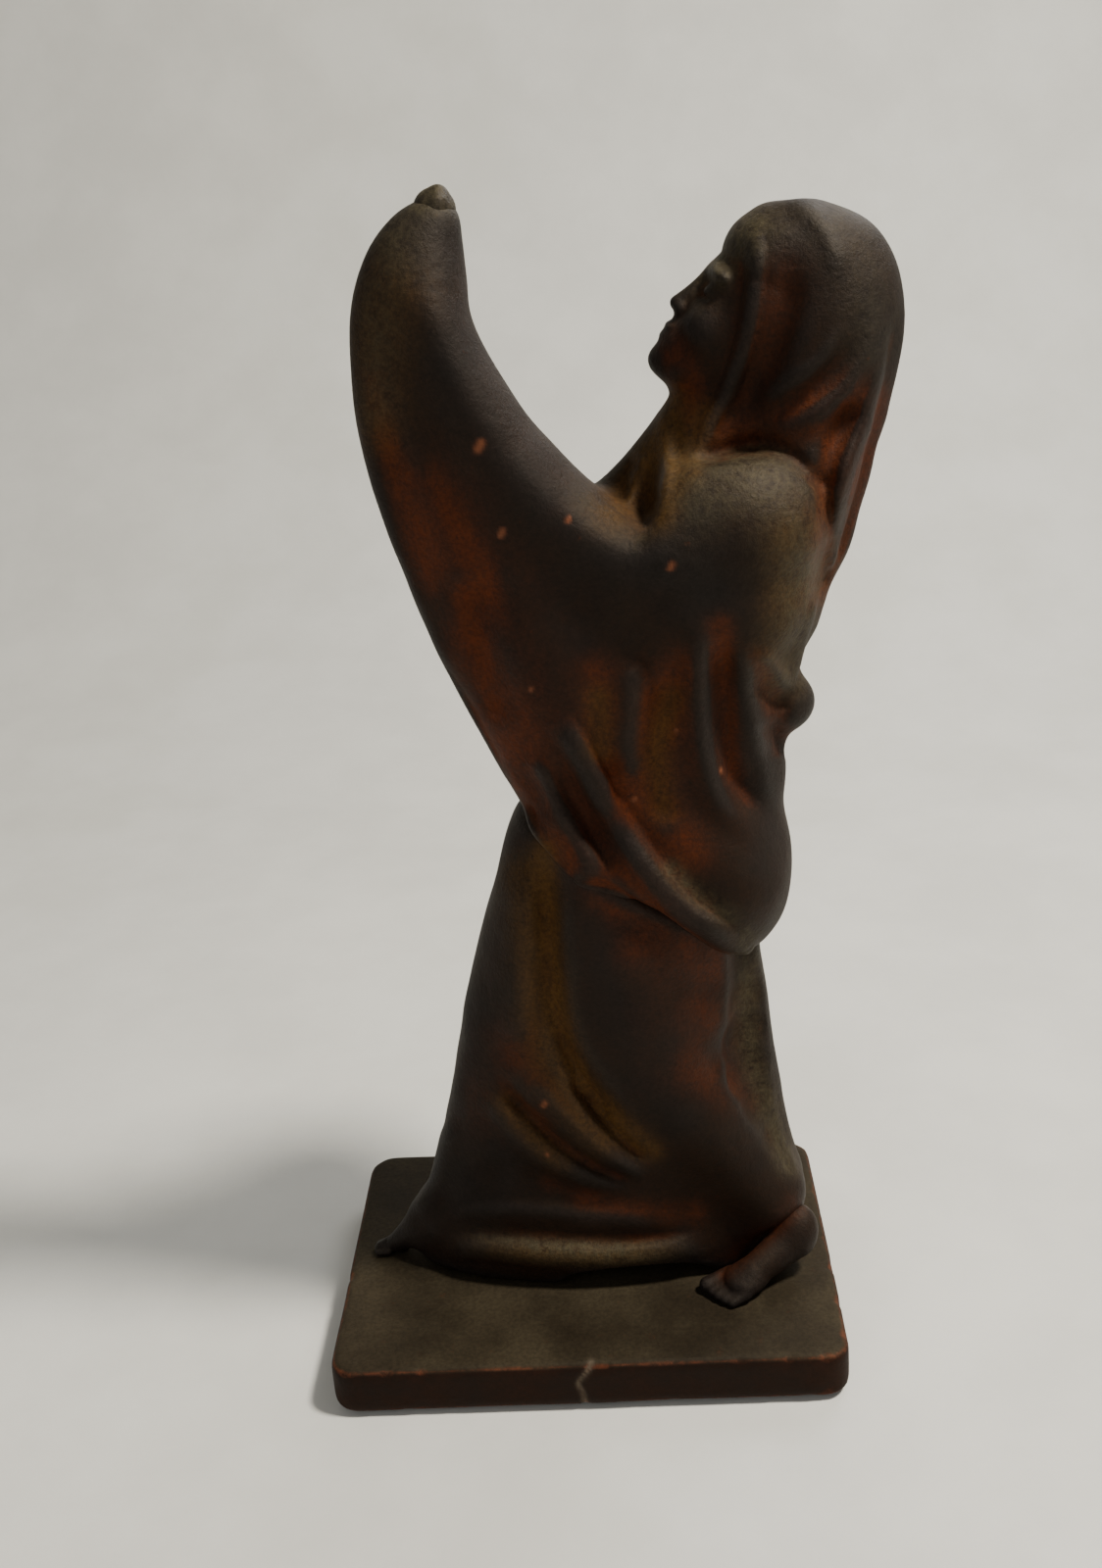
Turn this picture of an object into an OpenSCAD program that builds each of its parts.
// Figure trophy: a draped, striding dancer on a rectangular slab, built as separate castings that are
// doweled and luted together and drawn down onto the slab by one long stud.
// Millimetres. +Z is up, the figure faces -X, and the origin is at the middle of the underside.

/* [Slab] */
// Length of the slab, along the stride
slab_w = 100; // [96:1:120]
// Depth of the slab
slab_d = 71; // [68:1:90]
// Thickness of the slab
slab_t = 10.2; // [9:0.2:14]
// Corner radius in plan
slab_r = 5; // [2:0.5:9]
// Thickness of the felt pad glued under the slab
felt_t = 0.8; // [0.5:0.1:2]

/* [Figure] */
// Height of the figure's highest point above the slab
figure_h = 210; // [195:1:225]
// Wall thickness of the hollow skirt
skirt_wall = 6.5; // [6:0.5:8]

/* [Fixings] */
// Radius of the long stud
stud_r = 2.5; // [2:0.25:3]
// Radius of the dowels between castings
dowel_r = 1.5; // [1:0.25:2]
// Clearance of a stud or dowel in its hole
fit_gap = 0.1; // [0.05:0.05:0.3]

/* [Hidden] */
slab_top = felt_t + slab_t;
// The castings are drawn for a figure 210 mm tall and scaled from the slab's top.
k = figure_h / 210;
sides = 40;        // points around a loft
steps = 3;         // rings between two control rings
stud_x = 12;
stud_y = 1;
counterbore_r = 7.5;
counterbore_h = 5.6;
washer_r = 5;
washer_t = 1;
nut_across = 8;
nut_t = 4;
insert_r = 4;
insert_h = 12;
seam_gap = 0.15;   // half of the luting gap between two castings
neck_z = 165;      // where the neck sits on the shoulders, above the slab's top
KNOT = [40.8, -1, 118.5];   // the shawl's knot in the small of the back
knot_r = 5.5;
felt_inset = 4;
terracotta = "sienna";

// Control rings, above the slab's top: [x, y, z, lean, half length, half depth, taper].
// lean turns the ring about Y, and taper makes its +length end deeper than its -length end.
SKIRT = [
    [4, 1.5, 0, 0, 41, 14.5, 0],
    [4.5, 1.5, 6, 0, 41, 15, 0],
    [5.7, 1, 16, 0, 37.5, 13.5, 0],
    [6.7, 0.5, 31, 0, 34.3, 13.5, 0],
    [7.5, 0, 46, 0, 31.5, 14.5, 0],
    [8.7, 0, 63, 0, 28.8, 15.5, 0],
    [10.5, 0, 76, 0, 26.5, 16.5, 0],
    [13, 0, 88, 0, 25, 16.5, 0],
    [15, 0, 100, 0, 22.5, 16, 0],
    [18, 0, 112, 0, 20, 15, 0]];
TORSO = [
    [10.5, 0, 58, 0, 23.5, 15.5, 0],
    [11.5, 0, 66, 0, 23.5, 16.5, 0],
    [11.8, 0, 72, 0, 24.8, 17.3, 0],
    [14.2, 0, 80, 0, 25.3, 18, 0],
    [16, 0, 86, 0, 25, 18, 0],
    [17, 0, 92, 0, 25, 17.8, 0],
    [18.5, 0, 99, 0, 23, 17, 0],
    [20, 0, 106, 0, 21, 16.5, 0],
    [21, 0, 112, 0, 20.5, 16.5, 0],
    [23.2, 0, 121, 0, 20.2, 17, 0],
    [26.2, 0, 131, 0, 20.2, 18.5, 0],
    [29, 0, 141, 0, 21, 20.5, 0],
    [29.3, 0, 150, 0, 21.8, 22.5, 0],
    [30, 0, 155, 0, 20.8, 22.5, 0],
    [30.8, 0, 159, 0, 18.6, 21.5, 0],
    [31.3, 0, 163, 0, 15.2, 18.5, 0],
    [31.5, 0, 166, 0, 11, 14, 0],
    [32, 0, 168, 0, 7, 10, 0]];
ARM = [
    [12, -2, 122, 76.8, 33, 17.5, 0.15],
    [2.2, -5, 132, 73.7, 28.5, 14.5, 0.2],
    [-5.2, -8, 145, 68, 23.4, 11.5, 0.3],
    [-11.9, -10, 161.5, 50, 16.6, 9.5, 0.35],
    [-16.2, -11, 175, 28, 12.6, 8.5, 0.35],
    [-18.5, -11, 186, 17, 10.3, 8, 0.3],
    [-18.2, -11, 194.5, 8, 9, 7, 0.2],
    [-16.3, -10.5, 202, 4, 7.1, 5.6, 0.1],
    [-14, -10, 206.6, 0, 4.4, 3.6, 0]];
FINGERS = [
    [-14, -10, 206.7, 0, 4, 3.2, 0],
    [-13.2, -9.8, 208.3, 0, 3, 2.4, 0],
    [-12.4, -9.6, 209.6, 0, 1.6, 1.4, 0],
    [-12.1, -9.6, 210, 0, 0.5, 0.5, 0]];
HEAD = [
    [30.5, 0, 160, -5, 8.5, 8, 0],
    [31.5, 0, 170, -12, 8.3, 7.3, 0],
    [32.5, 0, 178, -24, 11.6, 8.6, 0],
    [35.5, 0, 185, -33, 11.2, 9.8, 0],
    [39, 0, 192, -35, 9.8, 9.8, 0],
    [42.5, 0, 197.5, -35, 7.8, 8, 0],
    [44.5, 0, 200.5, -35, 3.5, 4, 0]];
HOOD = [
    [51.5, 0, 136, 0, 1.5, 4, 0],
    [51, 0, 142, 0, 3.5, 7, 0],
    [50, 0, 150, 0, 5, 9.5, 0],
    [48.5, 0, 160, 0, 8.5, 11.5, 0],
    [46.5, 0, 168, 0, 12.5, 12.5, 0],
    [47, 0, 178, 0, 14.5, 13.5, 0],
    [48, 0, 187, 0, 14.6, 13.5, 0],
    [47.5, 0, 194, 0, 13.5, 12, 0],
    [46.5, 0, 200, 0, 10.5, 9, 0],
    [44, 0, 203.6, 0, 5, 4.5, 0]];
REAR_FOOT = [
    [25.2, -18.6, 1.6, -70, 1.6, 3.2, 0],
    [28, -17.8, 3, -70, 3, 4.6, 0],
    [32, -16.2, 4.2, -68, 4, 4.2, 0],
    [37, -13.4, 6.5, -60, 4.2, 3.6, 0],
    [41, -11, 10, -40, 4.6, 3.6, 0],
    [42.6, -9, 14.4, -15, 4.6, 3.6, 0]];
FRONT_FOOT = [
    [-44.6, 0.4, 1.6, 85, 1, 1.2, 0],
    [-42.6, 0.6, 2, 85, 1.9, 2.6, 0],
    [-39.6, 0.9, 2.6, 85, 2.5, 3.6, 0],
    [-36, 1.2, 3.4, 85, 3.2, 3.8, 0]];

// The planes where the castings meet, as [x, z, lean]: the normal leans from +X by that angle.
HEM_SEAM = [4.5, 93.5, 58];
ARM_SEAM = [12, 122, -13.2];
FACE_SEAM = [33.6, 182, -13.7];

// A smooth curve through b and c, with a and d as its neighbours
function blend(a, b, c, d, t) =
    0.5 * (2 * b + (c - a) * t + (2 * a - 5 * b + 4 * c - d) * t * t + (3 * b - a - 3 * c + d) * t * t * t);

function smoothed(rows) = let (last = len(rows) - 1) [
    for (i = [0:last - 1])
        for (j = [0:steps - 1])
            blend(rows[max(i - 1, 0)], rows[i], rows[i + 1], rows[min(i + 2, last)], j / steps),
    rows[last]];

// One ring's points; shrink brings it in by a wall thickness
function ring(row, shrink = 0) = [
    for (i = [0:sides - 1])
        let (
            t = 360 * i / sides,
            along = (row[4] - shrink) * cos(t),
            across = (row[5] - shrink) * sin(t) * (1 + row[6] * cos(t)))
        [row[0] + along * cos(row[3]), row[1] + across, row[2] + along * sin(row[3])]];

function flat(lists) = [for (l = lists) for (p = l) p];

// Joins a stack of rings into one closed solid
module skin(rings) {
    count = len(rings);
    walls = [
        for (i = [0:count - 2])
            for (j = [0:sides - 1])
                let (a = i * sides + j, b = i * sides + (j + 1) % sides)
                each [[a, a + sides, b + sides], [a, b + sides, b]]];
    floor = [for (j = [0:sides - 1]) j];
    roof = [for (j = [sides - 1:-1:0]) (count - 1) * sides + j];
    polyhedron(flat(rings), concat([floor], walls, [roof]));
}

module loft(rows) {
    skin([for (row = smoothed(rows)) ring(row)]);
}

module on_slab() {
    translate([0, 0, slab_top]) scale(k) children();
}

// Everything on the +normal side of a seam plane
module beyond(seam) {
    big = 300;
    translate([seam[0], 0, seam[1]]) rotate([0, -seam[2], 0])
        translate([seam_gap, -big / 2, -big / 2]) cube(big);
}

// Everything on the -normal side of a seam plane
module before(seam) {
    big = 300;
    translate([seam[0], 0, seam[1]]) rotate([0, -seam[2], 0])
        translate([-big - seam_gap, -big / 2, -big / 2]) cube(big);
}

// A round hole or pin across a seam, centred on it
module across(seam, y, r, length, up = 0) {
    translate([seam[0], y, seam[1]]) rotate([0, -seam[2], 0])
        translate([0, 0, up]) rotate([0, 90, 0]) cylinder(r = r, h = length, center = true, $fn = 48);
}

// The space of the shoulders and back, which the neck and the hood stand clear of
module shoulder_space(gap) {
    rotate([90, 0, 0]) linear_extrude(200, center = true) polygon([
        [-60, 0], [80 + gap, 0], [47 + gap, neck_z + gap], [-60, neck_z + gap]]);
}

module upright(x, y, from, to, r) {
    translate([x, y, from]) cylinder(r = r, h = to - from, $fn = 64);
}

module slab() {
    color("saddlebrown") difference() {
        translate([0, 0, felt_t]) union() {
            for (sx = [-1, 1], sy = [-1, 1])
                translate([sx * (slab_w / 2 - slab_r), sy * (slab_d / 2 - slab_r), 0])
                    cylinder(r = slab_r, h = slab_t, $fn = 64);
            translate([-slab_w / 2, -slab_d / 2 + slab_r, 0]) cube([slab_w, slab_d - 2 * slab_r, slab_t]);
            translate([-slab_w / 2 + slab_r, -slab_d / 2, 0]) cube([slab_w - 2 * slab_r, slab_d, slab_t]);
        }
        upright(stud_x, stud_y, -1, slab_top + 1, stud_r + fit_gap);
        upright(stud_x, stud_y, -1, felt_t + counterbore_h, counterbore_r);
        upright(-32.5, 1.5, slab_top - 5, slab_top + 1, dowel_r + fit_gap);
    }
}

module felt_pad() {
    w = slab_w - 2 * felt_inset;
    d = slab_d - 2 * felt_inset;
    r = slab_r - 1;
    color("darkgreen") union() {
        for (sx = [-1, 1], sy = [-1, 1])
            translate([sx * (w / 2 - r), sy * (d / 2 - r), 0]) cylinder(r = r, h = felt_t, $fn = 64);
        translate([-w / 2, -d / 2 + r, 0]) cube([w, d - 2 * r, felt_t]);
        translate([-w / 2 + r, -d / 2, 0]) cube([w - 2 * r, d, felt_t]);
    }
}

// The skirt is a thick cup, open underneath, with its inside following the outside
module skirt() {
    outer = [for (row = smoothed(SKIRT)) ring(row)];
    inner = [for (row = smoothed(SKIRT)) if (row[2] <= 62) ring(row, skirt_wall)];
    hollow = [for (i = [len(inner) - 1:-1:0]) inner[i]];
    color(terracotta) difference() {
        on_slab() difference() {
            skin(concat(hollow, outer));
            beyond(HEM_SEAM);
            translate([42.6, -9, 14.4]) rotate([0, 15, 0]) cylinder(r = 6.2, h = 40, center = true, $fn = 48);
            translate([-37.5, 1.2, 2.5]) rotate([0, 90, 0]) cylinder(r = 4.3, h = 8, center = true, $fn = 48);
        }
        upright(stud_x, stud_y, slab_top, slab_top + 110 * k, stud_r + fit_gap);
        upright(-32.5, 1.5, slab_top - 1, slab_top + 8, dowel_r + fit_gap);
    }
}

module torso_shawl() {
    color(terracotta) difference() {
        on_slab() difference() {
            intersection() {
                union() {
                    loft(TORSO);
                    translate(KNOT) sphere(r = knot_r, $fn = 40);
                }
                shoulder_space(-seam_gap);
            }
            before(HEM_SEAM);
            before(ARM_SEAM);
            across(ARM_SEAM, -4, dowel_r + fit_gap, 24, 14);
            across(ARM_SEAM, -4, dowel_r + fit_gap, 24, -6);
            upright(31, 0, neck_z - 10, neck_z + 10, dowel_r + fit_gap);
        }
        upright(stud_x, stud_y, slab_top, insert_bottom() + insert_h, insert_r);
        upright(stud_x, stud_y, slab_top, insert_bottom() + insert_h + 4, stud_r + fit_gap);
    }
}

// Height of the hem seam over the stud, where the insert starts
function insert_bottom() =
    slab_top + k * (HEM_SEAM[1] - (stud_x - insert_r - HEM_SEAM[0]) * cos(HEM_SEAM[2]) / sin(HEM_SEAM[2])) + 1;

module raised_arm_shawl() {
    color(terracotta) on_slab() difference() {
        loft(ARM);
        beyond(ARM_SEAM);
        before(HEM_SEAM);
        across(ARM_SEAM, -4, dowel_r + fit_gap, 24, 14);
        across(ARM_SEAM, -4, dowel_r + fit_gap, 24, -6);
    }
}

module fingertips() {
    color(terracotta) on_slab() loft(FINGERS);
}

module head() {
    color(terracotta) on_slab() difference() {
        loft(HEAD);
        shoulder_space(seam_gap);
        beyond(FACE_SEAM);
        upright(31, 0, neck_z - 10, neck_z + 10, dowel_r + fit_gap);
        across(FACE_SEAM, 0, dowel_r + fit_gap, 14, 4);
    }
}

module hood() {
    color(terracotta) on_slab() difference() {
        loft(HOOD);
        shoulder_space(seam_gap);
        before(FACE_SEAM);
        across(FACE_SEAM, 0, dowel_r + fit_gap, 14, 4);
    }
}

module rear_foot() {
    color(terracotta) on_slab() loft(REAR_FOOT);
}

module front_foot() {
    color(terracotta) on_slab() loft(FRONT_FOOT);
}

module fixing_stud() {
    color("silver") upright(stud_x, stud_y, felt_t + 0.6, insert_bottom() + insert_h + 2, stud_r);
}

module threaded_insert() {
    color("goldenrod") difference() {
        upright(stud_x, stud_y, insert_bottom(), insert_bottom() + insert_h, insert_r - 0.02);
        upright(stud_x, stud_y, insert_bottom() - 1, insert_bottom() + insert_h + 1, stud_r + 0.05);
    }
}

module washer() {
    top = felt_t + counterbore_h;
    color("silver") difference() {
        upright(stud_x, stud_y, top - washer_t, top, washer_r);
        upright(stud_x, stud_y, top - washer_t - 1, top + 1, stud_r + 0.15);
    }
}

module hex_nut() {
    top = felt_t + counterbore_h - washer_t;
    color("silver") difference() {
        translate([stud_x, stud_y, top - nut_t]) cylinder(r = nut_across / 2 / cos(30), h = nut_t, $fn = 6);
        upright(stud_x, stud_y, top - nut_t - 1, top + 1, stud_r + 0.05);
    }
}

module locating_pin() {
    color("silver") upright(-32.5, 1.5, slab_top - 4.8, slab_top + 7.6, dowel_r);
}

module neck_dowel() {
    color("silver") on_slab() upright(31, 0, neck_z - 9.6, neck_z + 9.6, dowel_r);
}

module hood_dowel() {
    color("silver") on_slab() across(FACE_SEAM, 0, dowel_r, 13.4, 4);
}

module arm_dowels() {
    color("silver") on_slab() {
        across(ARM_SEAM, -4, dowel_r, 23.4, 14);
        across(ARM_SEAM, -4, dowel_r, 23.4, -6);
    }
}

felt_pad();
slab();
skirt();
torso_shawl();
raised_arm_shawl();
fingertips();
head();
hood();
rear_foot();
front_foot();
fixing_stud();
threaded_insert();
washer();
hex_nut();
locating_pin();
neck_dowel();
hood_dowel();
arm_dowels();
